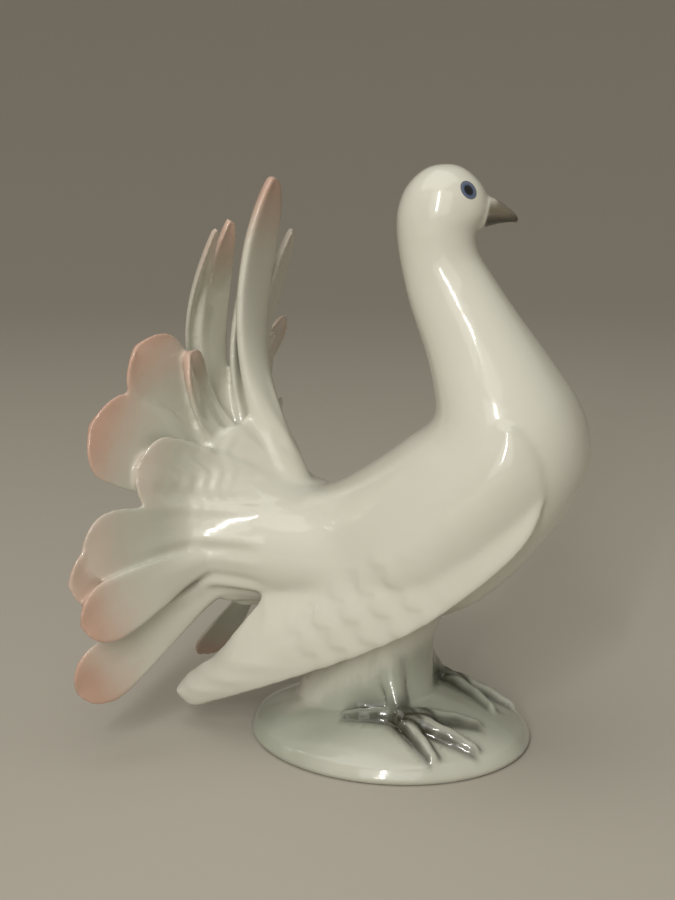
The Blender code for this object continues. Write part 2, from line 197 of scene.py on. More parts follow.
LEFT_FEATHERS = [
    ("back", (-44.7, 10.0, 148.2), 10.0, 6.8, 8.0, 0.95, 0.5),
    ("back", (-41.8, 22.0, 144.8), 8.0, 6.4, 12.0, 0.95, 0.7),
    ("back", (-50.3, 26.0, 112.4), 9.0, 7.6, 20.0, 0.95, 0.86),
    ("back", (-54.4, 42.0, 115.4), 11.0, 7.2, 22.0, 0.95, 0.86),
    ("back", (-65.4, 52.0, 95.4), 2.0, 11.6, 26.0, 1.0, 0.86),
    ("front", (-58.0, 42.0, 82.0), 2.0, 10.8, 36.0, 0.95, 0.86),
    ("front", (-66.0, 57.0, 61.0), 2.0, 10.4, 34.0, 1.0, 0.86),
    ("back", (-67.8, 61.0, 52.7), 3.0, 9.6, 20.0, 0.95, 0.86),
    ("front", (-65.0, 60.0, 41.5), 1.0, 9.2, 30.0, 1.05, 0.86),
    ("front", (-71.0, 50.0, 19.6), 1.0, 9.4, 26.0, 1.05, 0.86),
    ("front", (-69.6, 12.0, 9.6), 1.0, 6.4, -30.0, 0.95, 0.86),
]

# Web: the thick inner part of each half of the fan
WEB_ROOT = (-39.4, 65.0)
WEB_RADIUS = 32.0
WEB_THICKNESS = 4.4
WEB_SWEEP = math.radians(24.0)
WEB_SPAN = (math.radians(5.0), math.radians(162.0))

# Column under the belly: height, rear, front and half width
COLUMN = [
    (2.0, -30.0, 17.0, 20.0),
    (10.0, -28.0, 15.0, 18.4),
    (17.0, -25.4, 13.0, 17.0),
    (26.0, -20.0, 12.4, 16.4),
    (36.0, -15.0, 15.0, 16.0),
    (44.0, -14.0, 20.0, 17.0),
]

# Leg: point and radius down from the foot's middle to the belly, then the toes' tips
FOOT = (9.8, 17.0)
LEG = [
    (*FOOT, 10.0, 3.4),
    (8.0, 14.6, 17.0, 3.0),
    (5.0, 11.6, 23.0, 4.0),
    (2.0, 9.0, 34.0, 6.0),
]
TOES = [
    ((30.6, 5.6), 1.0),
    ((33.6, 16.6), 1.1),
    ((24.6, 26.8), 1.0),
    ((-6.4, 20.6), 0.85),
]

# Strength of the sprayed pink and of the painted shade in the hollow, by feather
PINK_SHARES = (0.95, 0.85, 0.5, 0.8, 1.0, 1.0, 0.3, 0.45, 0.7, 1.0, 1.1)
PINK_SHARES += (0.35, 0.3, 0.5, 0.7, 0.8, 0.25, 0.35, 0.6, 0.8, 0.9, 0.9)
SHADE_SHARES = (0.25, 0.3, 0.9, 0.7, 0.9, 0.9, 1.2, 1.2, 1.0, 0.5, 0.3)
SHADE_SHARES += (0.5, 0.5, 0.9, 0.9, 0.9, 1.2, 1.2, 1.0, 0.5, 0.8, 0.8)

# Ink lines and painted shade round the toes: line's distance in toe radii, falling off, and reach of
# the painted shade at the foot's middle
LINE_BESIDE = 1.15
INK_AND_SHADE_POWER = 0.7
HUB_SHADE_REACH = (4.4, 3.6)

# Where pink starts and is full along a feather
PINK_SPAN = (0.74, 0.98)

# Height of the green's edge where x is CELADON_FROM, its rise with x and softness
CELADON_EDGE = 17.0
CELADON_FROM = -12.0
CELADON_RISE = 0.55
CELADON_SOFT = 2.0

# White patch behind the right leg: middle and half size
PATCH_MIDDLE = (-14.0, -3.0)
PATCH_HALF = (11.0, 8.0)
PATCH_SLANT = 0.35

# Beak: where its paint starts along the head, how that leans, and the pale spot on top
BEAK_PAINT = 25.3
BEAK_PAINT_Z = 147.6
BEAK_PAINT_LEAN = 0.22
CERE = (27.4, 153.9)
CERE_HALF = (0.9, 1.3)

# What each point of a skin belongs to
BODY, WING, FEATHER, WEB, BEAK_PART, COLUMN_PART, BASE, TOE, LEG_PART = range(9)


def spline(points, share):
    """Point at share 0..1 along a smooth curve through the points."""
    last = len(points) - 1
    place = min(max(share, 0.0), 1.0) * last
    at = min(int(place), last - 1)
    t = place - at
    before = points[max(at - 1, 0)]
    start = points[at]
    end = points[at + 1]
    after = points[min(at + 2, last)]
    values = []
    for a, b, c, d in zip(before, start, end, after):
        values.append(
            b + 0.5 * t * (c - a + t * (2 * a - 5 * b + 4 * c - d + t * (3 * (b - c) + d - a)))
        )
    return values


def ease(value, low, high):
    t = min(max((value - low) / (high - low), 0.0), 1.0)
    return t * t * (3.0 - 2.0 * t)


def eased(values, low, high):
    """The same for a whole array."""
    t = np.clip((values - low) / (high - low), 0.0, 1.0)
    return t * t * (3.0 - 2.0 * t)


class Skins:
    """Closed skins gathered into one mesh, with what each point belongs to."""

    def __init__(self):
        self.points = []
        self.faces = []
        self.marks = []

    def loft(self, kind, rings, index=0, marks=None):
        first = len(self.points)
        count = len(rings[0])
        for i, ring in enumerate(rings):
            for k, point in enumerate(ring):
                self.points.append(tuple(point))
                along, across, facing = marks[i][k] if marks else (i / (len(rings) - 1), 0.0, 0.0)
                self.marks.append((kind, index, along, across, facing))
        for i in range(len(rings) - 1):
            low = first + i * count
            for k in range(count):
                j = (k + 1) % count
                self.faces.append((low + k, low + j, low + count + j, low + count + k))
        for i in (0, len(rings) - 1):
            ring = rings[i]
            middle = [sum(point[axis] for point in ring) / count for axis in range(3)]
            self.points.append(tuple(middle))
            self.marks.append((kind, index, i / (len(rings) - 1), 0.0, 0.0))
            low = first + i * count
            centre = len(self.points) - 1
            for k in range(count):
                self.faces.append((low + k, low + (k + 1) % count, centre))


def flat_sections():
    return [(*rear, *front, width) for rear, front, width in SECTIONS]


def turned(point):
    """The head turns a little to the dove's left, about a line up the neck."""
    x, y, z = point
    angle = HEAD_TURN * ease(z, HEAD_TURN_FROM, HEAD_TURN_TO)
    dx = x - HEAD_PIVOT
    return (
        HEAD_PIVOT + dx * math.cos(angle) - y * math.sin(angle),
        dx * math.sin(angle) + y * math.cos(angle),
        z,
    )


def body_ring(section, around):
    rx, rz, fx, fz, width = section
    ring = []
    for i in range(around):
        a = 2.0 * math.pi * i / around
        along = 0.5 - 0.5 * math.cos(a)
        x = rx + (fx - rx) * along
        z = rz + (fz - rz) * along
        y = width * math.copysign(abs(math.sin(a)) ** (2.0 / SECTION_FULLNESS), math.sin(a))
        x -= FLARE_SWEEP * abs(y) * ease(-x, *FLARE)
        ring.append(turned((x, y, z)))
    return ring


def add_body(skins, steps=180, around=96):
    sections = flat_sections()
    rings = [body_ring(spline(sections, i / steps), around) for i in range(steps + 1)]
    skins.loft(BODY, rings)


def add_beak(skins, steps=30, around=32):
    rings = []
    for i in range(steps + 1):
        x, top, low, width = spline(BEAK, i / steps)
        ring = []
        for k in range(around):
            a = 2.0 * math.pi * k / around
            z = (top + low) / 2.0 + (top - low) / 2.0 * math.sin(a)
            ring.append(turned((x, width * math.cos(a), z)))
        rings.append(ring)
    skins.loft(BEAK_PART, rings)


def flank_finder(steps=160):
    """Returns the body's half width at a point of its side view."""
    sections = [spline(flat_sections(), i / steps) for i in range(steps + 1)]

    def flank(x, z):
        best = None
        for rx, rz, fx, fz, width in sections:
            dx = fx - rx
            dz = fz - rz
            size = dx * dx + dz * dz
            t = ((x - rx) * dx + (z - rz) * dz) / size
            off = abs((x - rx) * dz - (z - rz) * dx) / math.sqrt(size)
            if best is None or off < best[0]:
                best = (off, t, width)
        off, t, width = best
        inside = 1.0 - (2.0 * t - 1.0) ** 2
        if inside <= 0.0:
            return 0.0
        return width * inside ** (1.0 / SECTION_FULLNESS) * max(0.0, 1.0 - (off / 12.0) ** 2)

    return flank


def add_wing(skins, side, flank, steps=110, across=30):
    """Folded wing lying on the flank, free of the body towards its tip."""
    relief = WING_RELIEF / PART
    rings = []
    marks = []
    for i in range(steps + 1):
        u = i / steps
        low = spline(WING_LOWER, u)
        high = spline(WING_UPPER, u)
        spread = spline([(value,) for value in WING_SPREAD], u)[0]
        free = ease(u, 0.5, 0.78)
        outer = []
        inner = []
        for k in range(across + 1):
            v = 0.5 - 0.5 * math.cos(math.pi * k / across)
            x = low[0] + (high[0] - low[0]) * v
            z = low[1] + (high[1] - low[1]) * v
            sunk = ease(v, 0.3, 0.95) * (1.0 - free)
            lying = flank(x, z) + relief - (relief + 1.6) * sunk
            blade = spread - 7.0 * max(0.0, v - 0.35) ** 2 - 3.0 * max(0.0, 0.35 - v) ** 2 - 9.0 * sunk
            y = max(lying, blade)
            edge = math.sqrt(max(0.0, math.sin(math.pi * v)))
            thick = 2.6 + 5.0 * (1.0 - free)
            outer.append(((x, side * (y - 1.5 * (1.0 - edge)), z), (u, v, 1.0)))
            inner.append(((x, side * (y - 1.5 - thick * edge), z), (u, v, -1.0)))
        both = outer + inner[-2:0:-1]
        rings.append([point for point, _ in both])
        marks.append([mark for _, mark in both])
    skins.loft(WING, rings, 0 if side < 0.0 else 1, marks)


def add_feather(skins, index, row, tip, bulge, half, turn, heavy, blunt, side, steps=44, across=18):
    """Spoon shaped feather, its face turned forward and hollowed a little."""
    start = ROOT_FRONT if row == "front" else ROOT_BACK
    stout = ease(tip[2], 50.0, 112.0)
    root = Vector((start[0], 0.0, start[1] - ROOT_DROP * (1.0 - stout)))
    end = Vector((tip[0], side * tip[1], tip[2]))
    axis = end - root
    length = axis.length
    face = Vector((math.cos(math.radians(turn)), side * math.sin(math.radians(turn)), 0.0))
    face = (face - axis * face.dot(axis) / length**2).normalized()
    thick = heavy * FEATHER_THICKNESS / PART / 2.0
    arch = ARCH * ease(tip[2], 5.0, 30.0) * (1.0 - stout)
    above = face.cross(axis).normalized()
    above = above * math.copysign(arch, above.z)
    narrow = 0.42 + 0.28 * stout
    broad = (0.3 - 0.2 * stout, 0.9 - 0.12 * stout)
    swell = 0.3 + 0.8 * stout
    rings = []
    marks = []
    for i in range(steps + 1):
        s = math.sin(0.5 * math.pi * i / steps)
        shape = narrow + (1.0 - narrow) * ease(s, *broad)
        cap = math.sqrt(max(0.0, 1.0 - max(0.0, (s - blunt) / (1.0 - blunt)) ** 2))
        wide = max(half * shape * cap, 0.35)
        centre = root + axis * s + (above - face * bulge) * math.sin(math.pi * s)
        ahead = (axis + (above - face * bulge) * (math.pi * math.cos(math.pi * s))).normalized()
        out = ahead.cross(face).normalized()
        up = out.cross(ahead).normalized()
        body = thick * (0.35 + 0.65 * cap) * (1.0 + swell * (1.0 - ease(s, 0.0, 0.55)))
        ring = []
        ring_marks = []
        for k in range(2 * across):
            a = math.pi * k / across
            c = math.cos(a)
            hollow = 1.6 * c * c * ease(s, 0.3, 0.8)
            rim = math.copysign(abs(math.sin(a)) ** 0.7, math.sin(a))
            lift = hollow + body * rim * (1.0 - 0.25 * c * c)
            ring.append(centre + out * (wide * c) + up * lift)
            ring_marks.append((s, c, math.sin(a)))
        rings.append(ring)
        marks.append(ring_marks)
    skins.loft(FEATHER, rings, index, marks)


def add_tail(skins):
    feathers = [(1.0, *CENTRE_FEATHER)]
    feathers += [(-1.0, *feather) for feather in RIGHT_FEATHERS]
    feathers += [(1.0, *feather) for feather in LEFT_FEATHERS]
    for index, (side, *shape) in enumerate(feathers):
        add_feather(skins, index, *shape, side)


def add_web(skins, side, steps=50, around=40):
    """Lens shaped plate, swept back, that the feathers of one half grow out of."""
    out = Vector((-math.sin(WEB_SWEEP), side * math.cos(WEB_SWEEP), 0.0))
    face = Vector((math.cos(WEB_SWEEP), side * math.sin(WEB_SWEEP), 0.0))
    root = Vector((WEB_ROOT[0], 0.0, WEB_ROOT[1]))
    rings = []
    for i in range(steps + 1):
        share = i / steps
        tilt = WEB_SPAN[0] + (WEB_SPAN[1] - WEB_SPAN[0]) * share
        full = math.sqrt(max(0.02, 1.0 - abs(2.0 * share - 1.0) ** 3))
        ahead = Vector((0.0, 0.0, math.cos(tilt))) + out * math.sin(tilt)
        ring = []
        for k in range(around):
            a = 2.0 * math.pi * k / around
            along = WEB_RADIUS * full * (0.54 + 0.46 * math.cos(a))
            thick = WEB_THICKNESS * full * math.sin(a) * (1.0 - 0.35 * math.cos(a))
            ring.append(root + ahead * along + face * thick)
        rings.append(ring)
    skins.loft(WEB, rings)


def add_column(skins, steps=40, around=64):
    rings = []
    for i in range(steps + 1):
        z, rear, front, width = spline(COLUMN, i / steps)
        ring = []
        for k in range(around):
            a = 2.0 * math.pi * k / around
            x = (rear + front) / 2.0 + (front - rear) / 2.0 * math.cos(a)
            ring.append((x, width * math.sin(a), z))
        rings.append(ring)
    skins.loft(COLUMN_PART, rings)


def dome_height(share):
    """Height of the base's top at a share of the way out to its edge, in pose units."""
    edge = BASE_EDGE / PART
    rise = (BASE_DOME - BASE_EDGE) / PART
    return edge + rise * (1.0 - min(share, 1.0) ** 1.25) ** 0.8


def add_base(skins, around=144, steps=28):
    length = BASE_LENGTH / PART / 2.0
    width = BASE_WIDTH / PART / 2.0
    edge = BASE_EDGE / PART
    profile = [(0.975, 0.0), (0.995, 0.25 * edge), (1.0, 0.55 * edge), (0.985, 0.85 * edge)]
    for i in range(steps):
        share = 0.95 - 0.9 * i / (steps - 1)
        profile.append((share, dome_height(share)))
    rings = []
    for share, z in profile:
        ring = []
        for k in range(around):
            a = 2.0 * math.pi * k / around
            ring.append((length * share * math.cos(a), width * share * math.sin(a), z))
        rings.append(ring)
    skins.loft(BASE, rings)


def add_toe(skins, index, tip, heavy, side, steps=32, around=24):
    """Toe lying half sunk in the dome, with soft knuckles."""
    length = BASE_LENGTH / PART / 2.0
    width = BASE_WIDTH / PART / 2.0
    radius = TOE_RADIUS / PART * heavy
    start = Vector((FOOT[0], FOOT[1]))
    end = Vector(tip)
    ahead = (end - start).normalized()
    out = Vector((-ahead.y, ahead.x))
    rings = []
    marks = []
    for i in range(steps + 1):
        s = math.sin(0.5 * math.pi * i / steps)
        place = start + (end - start) * s
        share = math.hypot(place.x / length, place.y / width)
        knuckle = 1.0 + 0.07 * math.cos(3.0 * 2.0 * math.pi * s)
        cap = math.sqrt(max(0.0, 1.0 - max(0.0, (s - 0.9) / 0.1) ** 2))
        r = max(radius * (1.25 - 0.5 * s) * knuckle * cap, 0.2)
        z = dome_height(share) + 0.35 * r
        ring = []
        ring_marks = []
        for k in range(around):
            a = 2.0 * math.pi * k / around
            flat = place + out * (r * math.cos(a))
            ring.append((flat.x, side * flat.y, z + 1.1 * r * math.sin(a)))
            ring_marks.append((s, math.cos(a), math.sin(a)))
        rings.append(ring)
        marks.append(ring_marks)
    skins.loft(TOE, rings, index, marks)


def add_leg(skins, side, steps=24, around=28):
    rings = []
    for i in range(steps + 1):
        x, y, z, r = spline(LEG, i / steps)
        ring = []
        for k in range(around):
            a = 2.0 * math.pi * k / around
            ring.append((x + r * math.cos(a), side * (y + r * math.sin(a)), z))
        rings.append(ring)
    skins.loft(LEG_PART, rings, 0 if side < 0.0 else 1)


def all_skins():
    skins = Skins()
    flank = flank_finder()
    add_body(skins)
    add_beak(skins)
    add_column(skins)
    add_base(skins)
    for side in (-1.0, 1.0):
        add_wing(skins, side, flank)
        add_leg(skins, side)
        add_web(skins, side)
        for index, (tip, heavy) in enumerate(TOES):
            add_toe(skins, index, tip, heavy, side)
    add_tail(skins)
    return skins


def applied(obj):
    """Replaces the object's mesh by its evaluated one and drops its modifiers."""
    graph = bpy.context.evaluated_depsgraph_get()
    mesh = bpy.data.meshes.new_from_object(obj.evaluated_get(graph))
    old = obj.data
    obj.modifiers.clear()
    obj.data = mesh
    bpy.data.meshes.remove(old)


def coordinates(mesh, name="co"):
    values = np.empty(len(mesh.vertices) * 3)
    if name == "co":
        mesh.vertices.foreach_get("co", values)
    else:
        mesh.vertex_normals.foreach_get("vector", values)
    return values.reshape(-1, 3)


def largest_body(obj):
    """Keeps the largest connected surface and drops any stray shell."""
    mesh = obj.data
    count = len(mesh.vertices)
    ends = np.empty(len(mesh.edges) * 2, np.int64)
    mesh.edges.foreach_get("vertices", ends)
    ends = ends.reshape(-1, 2)
    group = np.arange(count)
    while True:
        low = np.minimum(group[ends[:, 0]], group[ends[:, 1]])
        fresh = group.copy()
        np.minimum.at(fresh, ends[:, 0], low)
        np.minimum.at(fresh, ends[:, 1], low)
        fresh = fresh[fresh]
        fresh = fresh[fresh]
        if (fresh == group).all():
            break
        group = fresh
    names, sizes = np.unique(group, return_counts=True)
    if len(names) == 1:
        return
    keep = names[sizes.argmax()]
    bm = bmesh.new()
    bm.from_mesh(mesh)
    bm.verts.ensure_lookup_table()
    stray = [bm.verts[i] for i in np.nonzero(group != keep)[0]]
    bmesh.ops.delete(bm, geom=stray, context="VERTS")
    bm.to_mesh(mesh)
    bm.free()


def weigh(obj, name, weights):
    """Vertex group with one weight for each vertex."""
    group = obj.vertex_groups.new(name=name)
    levels = np.round(weights * 20).astype(int)
    for level in range(1, 21):
        chosen = np.nonzero(levels == level)[0]
        if len(chosen):
            group.add(chosen.tolist(), level / 20.0, "REPLACE")


def from_root(co):
    """Distance of each point from the middle of the fan's root."""
    return np.sqrt(((co - np.array(FAN_ROOT)) ** 2).sum(axis=1))


def body_weights(co):
    """Weights the plain surfaces of the body, away from feathers, beak and feet."""
    x = co[:, 0]
    z = co[:, 2]
    rear = -50.0 + 10.0 * eased(z, 78.0, 96.0)
    weight = eased((x - rear) / 16.0, 0.0, 1.0) * eased(z, 16.0, 30.0)
    weight = np.maximum(weight, 1.0 - eased(from_root(co), 32.0, 46.0))
    return weight * (1.0 - eased(x, 23.0, 27.0) * eased(z, 140.0, 144.0))


def smooth(obj, iterations, group=""):
    soften = obj.modifiers.new("soften", "SMOOTH")
    soften.factor = 0.5
    soften.iterations = iterations
    soften.vertex_group = group
    applied(obj)


class Labels:
    """What the nearest point of the skins belongs to, for every vertex of a mesh."""

    def __init__(self, skins):
        self.marks = np.array(skins.marks)
        self.tree = KDTree(len(skins.points))
        for i, point in enumerate(skins.points):
            self.tree.insert(point, i)
        self.tree.balance()

    def of(self, co):
        found = [self.tree.find(point)[1] for point in co]
        return self.marks[found]


def new_piece(name, skins):
    mesh = bpy.data.meshes.new(name)
    mesh.from_pydata([tuple(c * PART for c in point) for point in skins.points], [], skins.faces)
    bm = bmesh.new()
    bm.from_mesh(mesh)
    bmesh.ops.recalc_face_normals(bm, faces=bm.faces)
    bm.to_mesh(mesh)
    bm.free()
    obj = bpy.data.objects.new(name, mesh)
    bpy.context.scene.collection.objects.link(obj)
    return obj


def relief(co, marks):
    """Height of the fine carving at each point, in pose units."""
    kind, _, along, across, facing = marks.T
    height = np.zeros(len(co))
    x, y, z = co.T
    # Long primaries, layered towards the wing's tip
    wing = (kind == WING) & (facing > 0.0)
    inner = eased(across, 0.10, 0.3) * (1.0 - eased(along, 0.93, 0.985))
    for step in range(RIDGE_COUNT):
        line = RIDGE_FIRST + RIDGE_STEP * step
        bent = along + 0.16 * (1.0 - across) ** 1.6 - 0.05
        ridge = eased(bent, line - 0.035, line) - eased(bent, line, line + 0.03)
        height += np.where(wing, RIDGE_HEIGHT * ridge * inner, 0.0)
    # Rows of short rounded feathers on the flank, very soft
    ahead_x, ahead_z = FLANK_AHEAD
    row = -(ahead_x * x + ahead_z * z) / FLANK_ROW
    lane = (ahead_x * z - ahead_z * x) / FLANK_LANE + 0.5 * (np.floor(row) % 2.0)
    in_row = row - np.floor(row)
    in_lane = np.abs(lane - np.floor(lane) - 0.5) * 2.0
    round_end = eased(in_row, 0.0, 0.6) * (1.0 - eased(in_row + 0.4 * in_lane**2, 0.84, 1.0))
    window = eased(along, 0.36, 0.46) * (1.0 - eased(along, 0.60, 0.70))
    window = window * (1.0 - eased(across, 0.45, 0.7))
    height += np.where(wing, FLANK_HEIGHT * round_end * window, 0.0)
    # Furrows that run out along the feathers' roots
    side = np.sign(y)
    out = np.abs(y)
    angle = np.arctan2(out + 0.35 * (x + 38.0), z - 62.0)
    distance = np.hypot(out, z - 62.0)
    wave = np.sin(angle * 21.0 + 0.8 * side) + 0.5 * np.sin(angle * 34.0 + 2.0)
    band = eased(distance, 15.0, 24.0) * (1.0 - eased(distance, 34.0, 46.0))
    band = band * (1.0 - eased(x, -34.0, -27.0))
    height += FURROW_HEIGHT * wave * band
    return height


def folds(co):
    """Height of the fine upright folds at the tail's root, in pose units."""
    x, y, z = co.T
    off_x = (x - FOLD_MIDDLE[0]) / FOLD_REACH[0]
    off_z = (z - FOLD_MIDDLE[1]) / FOLD_REACH[1]
    window = np.exp(-(off_x**2 + off_z**2)) * eased(np.abs(y), 3.0, 8.0)
    wave = np.sin((x + 0.25 * z + 0.6 * np.sin(0.7 * z)) * 2.0 * math.pi / FOLD_LENGTH)
    return FOLD_HEIGHT * wave * window


def fitted(co):
    """Draws the points in by the little that they reach past the solid's box."""
    low = np.array(cad_box[0]) + (BOX_MARGIN, BOX_MARGIN, 0.0)
    high = np.array(cad_box[1]) - BOX_MARGIN
    own_low = co.min(axis=0)
    own_high = co.max(axis=0)
    new_low = np.maximum(own_low, low)
    new_high = np.minimum(own_high, high)
    return new_low + (co - own_low) * (new_high - new_low) / (own_high - own_low)


def dove():
    skins = all_skins()
    labels = Labels(skins)
    obj = new_piece("fantail_dove_glazed", skins)
    remesh = obj.modifiers.new("fuse", "REMESH")
    remesh.mode = "VOXEL"
    remesh.voxel_size = VOXEL
    applied(obj)
    largest_body(obj)
    weigh(obj, "body", body_weights(coordinates(obj.data) / PART))
    smooth(obj, SMOOTHING)
    smooth(obj, BODY_SMOOTHING, "body")
    co = coordinates(obj.data)
    normals = coordinates(obj.data, "normal")
    marks = labels.of(co / PART)
    carving = softened(obj.data, relief(co / PART, marks), CARVING_SOFTENING)
    carving += folds(co / PART)
    co += normals * (carving * PART)[:, None]
    co = fitted(co)
    obj.data.vertices.foreach_set("co", co.ravel())
    obj.data.update()
    obj.vertex_groups.clear()
    smooth(obj, LAST_SMOOTHING)
    count = sum(len(face.vertices) - 2 for face in obj.data.polygons)
    thin = obj.modifiers.new("thin", "DECIMATE")
    thin.ratio = min(1.0, TRIANGLES / count)
    applied(obj)
    obj.data.polygons.foreach_set("use_smooth", [True] * len(obj.data.polygons))
    return obj, labels


def toe_ink_and_shade(co):
    """Darkness of the brush lines painted along the toes, which also stand for painted shade in the
    creases beside them, and of the painted shade where the toes meet, 0 to 1.
    """
    x, y, z = co.T
    out = np.abs(y)
    ink_and_shade = np.zeros(len(co))
    for tip, heavy in TOES:
        start = np.array(FOOT)
        end = np.array(tip)
        span = end - start
        length = np.hypot(*span)
        ahead = span / length
        dx = x - start[0]
        dy = out - start[1]
        s = (dx * ahead[0] + dy * ahead[1]) / length
        off = dy * ahead[0] - dx * ahead[1]
        radius = TOE_RADIUS / PART * heavy * (1.25 - 0.5 * np.clip(s, 0.0, 1.0))
        reach = eased(s, -0.1, 0.05) * (1.0 - eased(s, 0.9, 1.04))
        beside = radius * LINE_BESIDE
        for edge, strength in ((beside, 1.0), (-beside, 0.9)):
            breadth = 0.8 + 0.5 * (1.0 - np.clip(s, 0.0, 1.0))
            line = np.exp(-(((off - edge) / breadth) ** 2))
            ink_and_shade = np.maximum(ink_and_shade, strength * line * reach * (1.0 - 0.3 * eased(s, 0.3, 0.9)))
    # Painted shade where the toes meet, at the foot's middle
    hub_x = (x - FOOT[0] - 1.0) / HUB_SHADE_REACH[0]
    hub_y = (out - FOOT[1]) / HUB_SHADE_REACH[1]
    hub = np.exp(-(hub_x**2 + hub_y**2))
    ink_and_shade = np.maximum(ink_and_shade, hub)
    return ink_and_shade**INK_AND_SHADE_POWER * (1.0 - eased(z, 14.0, 22.0))


def softened(mesh, values, times):
    """Values on the vertices, evened out along the edges a number of times."""
    ends = np.empty(len(mesh.edges) * 2, np.int64)
    mesh.edges.foreach_get("vertices", ends)
    ends = ends.reshape(-1, 2)
    count = len(mesh.vertices)
    valence = np.bincount(ends.ravel(), minlength=count)
    for _ in range(times):
        total = np.bincount(ends[:, 0], values[ends[:, 1]], count)
        total += np.bincount(ends[:, 1], values[ends[:, 0]], count)
        values = 0.5 * values + 0.5 * total / valence
    return values


def paint(obj, labels):
    """Where each glaze colour and the painted shade lie, as numbers on the vertices."""
    co = coordinates(obj.data) / PART
    kind, index, along, _, facing = labels.of(co).T
    x, y, z = co.T
    feather = kind == FEATHER
    number = np.where(feather, index, 0).astype(int)
    front = eased(facing, -0.2, 0.5)
    away = from_root(co)
    strength = np.array(PINK_SHARES)[number]
    pink = np.where(feather, strength * eased(along, *PINK_SPAN), 0.0)
    # Painted shade on the feathers' hollow faces, less towards their ends and none near the fan's root
    hollow = np.array(SHADE_SHARES)[number]
    shade = np.where(feather, (1.0 - 0.6 * eased(along, 0.8, 0.97)) * (0.2 + 0.8 * front), 0.0)
    shade = softened(obj.data, shade * hollow, 12) * eased(away, 26.0, 44.0)
    pink = softened(obj.data, pink, 8)
    line = CELADON_EDGE + CELADON_RISE * np.clip(x - CELADON_FROM, -16.0, 24.0)
    celadon = 1.0 - eased(z, line - CELADON_SOFT, line + CELADON_SOFT)
    celadon = np.where(np.isin(kind, (WING, FEATHER)), 0.0, celadon)
    celadon = softened(obj.data, celadon, 6)
    patch_x = (x - PATCH_MIDDLE[0]) / PATCH_HALF[0]
    patch_y = (y - PATCH_MIDDLE[1] - PATCH_SLANT * x) / PATCH_HALF[1]
    bare = np.exp(-(patch_x**4 + patch_y**4))
    celadon = celadon * (1.0 - bare) * (1.0 - 0.5 * eased(np.abs(y) + 0.6 * x, 20.0, 38.0))
    ahead = HEAD_PIVOT + (x - HEAD_PIVOT) * math.cos(HEAD_TURN) + y * math.sin(HEAD_TURN)
    face_line = BEAK_PAINT + BEAK_PAINT_LEAN * (z - BEAK_PAINT_Z)
    beak = eased(ahead, face_line - 0.35, face_line + 0.35)
    beak = beak * eased(z, 142.0, 144.0) * (1.0 - eased(z, 157.0, 158.0))
    cere_x = (ahead - CERE[0]) / CERE_HALF[0]
    cere_z = (z - CERE[1]) / CERE_HALF[1]
    cere = np.exp(-(cere_x**2 + cere_z**2))
    # Painted shade: the beak darker below its mouth line, on its underside
    beak_underside_shade = 1.0 - eased(z, 148.2, 150.6)
    values = {
        "pink": pink,
        "shade": shade,
        "celadon": celadon,
        "ink_and_shade": toe_ink_and_shade(co),
        "beak": beak,
        "cere": cere,
        "beak_underside_shade": beak_underside_shade,
    }
    for name, value in values.items():
        attribute = obj.data.attributes.new(name, "FLOAT", "POINT")
        attribute.data.foreach_set("value", np.clip(value, 0.0, 1.0).astype(np.float32))


class Graph:
    """Short way to build a node material."""

    def __init__(self, name):
        self.material = bpy.data.materials.new(name)
        self.material.use_nodes = True
        self.tree = self.material.node_tree
        self.shader = self.tree.nodes["Principled BSDF"]

    def node(self, kind, **settings):
        node = self.tree.nodes.new(kind)
        for key, value in settings.items():
            setattr(node, key, value)
        return node

    def link(self, source, target):
        self.tree.links.new(source, target)

    def number(self, operation, a, b=0.0, clamp=False):
        node = self.node("ShaderNodeMath", operation=operation, use_clamp=clamp)
        for socket, value in zip(node.inputs, (a, b)):
            if isinstance(value, (int, float)):
                socket.default_value = value
            else:
                self.link(value, socket)
        return node.outputs[0]

    def mix(self, share, a, b):
        node = self.node("ShaderNodeMix", data_type="RGBA")
        for socket, value in ((node.inputs["Factor"], share), (node.inputs[6], a), (node.inputs[7], b)):
            if isinstance(value, (int, float)):
                socket.default_value = value
            elif isinstance(value, tuple):
                socket.default_value = (*value, 1.0)
            else:
                self.link(value, socket)
        return node.outputs[2]

    def attribute(self, name):
        return self.node("ShaderNodeAttribute", attribute_name=name).outputs["Fac"]

    def noise(self, scale, detail=2.0):
        node = self.node("ShaderNodeTexNoise")
        node.inputs["Scale"].default_value = scale
        node.inputs["Detail"].default_value = detail
        place = self.node("ShaderNodeTexCoord")
        self.link(place.outputs["Object"], node.inputs["Vector"])
        return node.outputs["Fac"]

    def dot(self, vector, direction):
        node = self.node("ShaderNodeVectorMath", operation="DOT_PRODUCT")
        self.link(vector, node.inputs[0])
        node.inputs[1].default_value = direction
        return node.outputs["Value"]


# Painted eye: place along the head and height, half length and half height
EYE = (20.5, 156.3)
EYE_HALF = (2.62, 1.82)
EYE_TILT = math.radians(52.0)


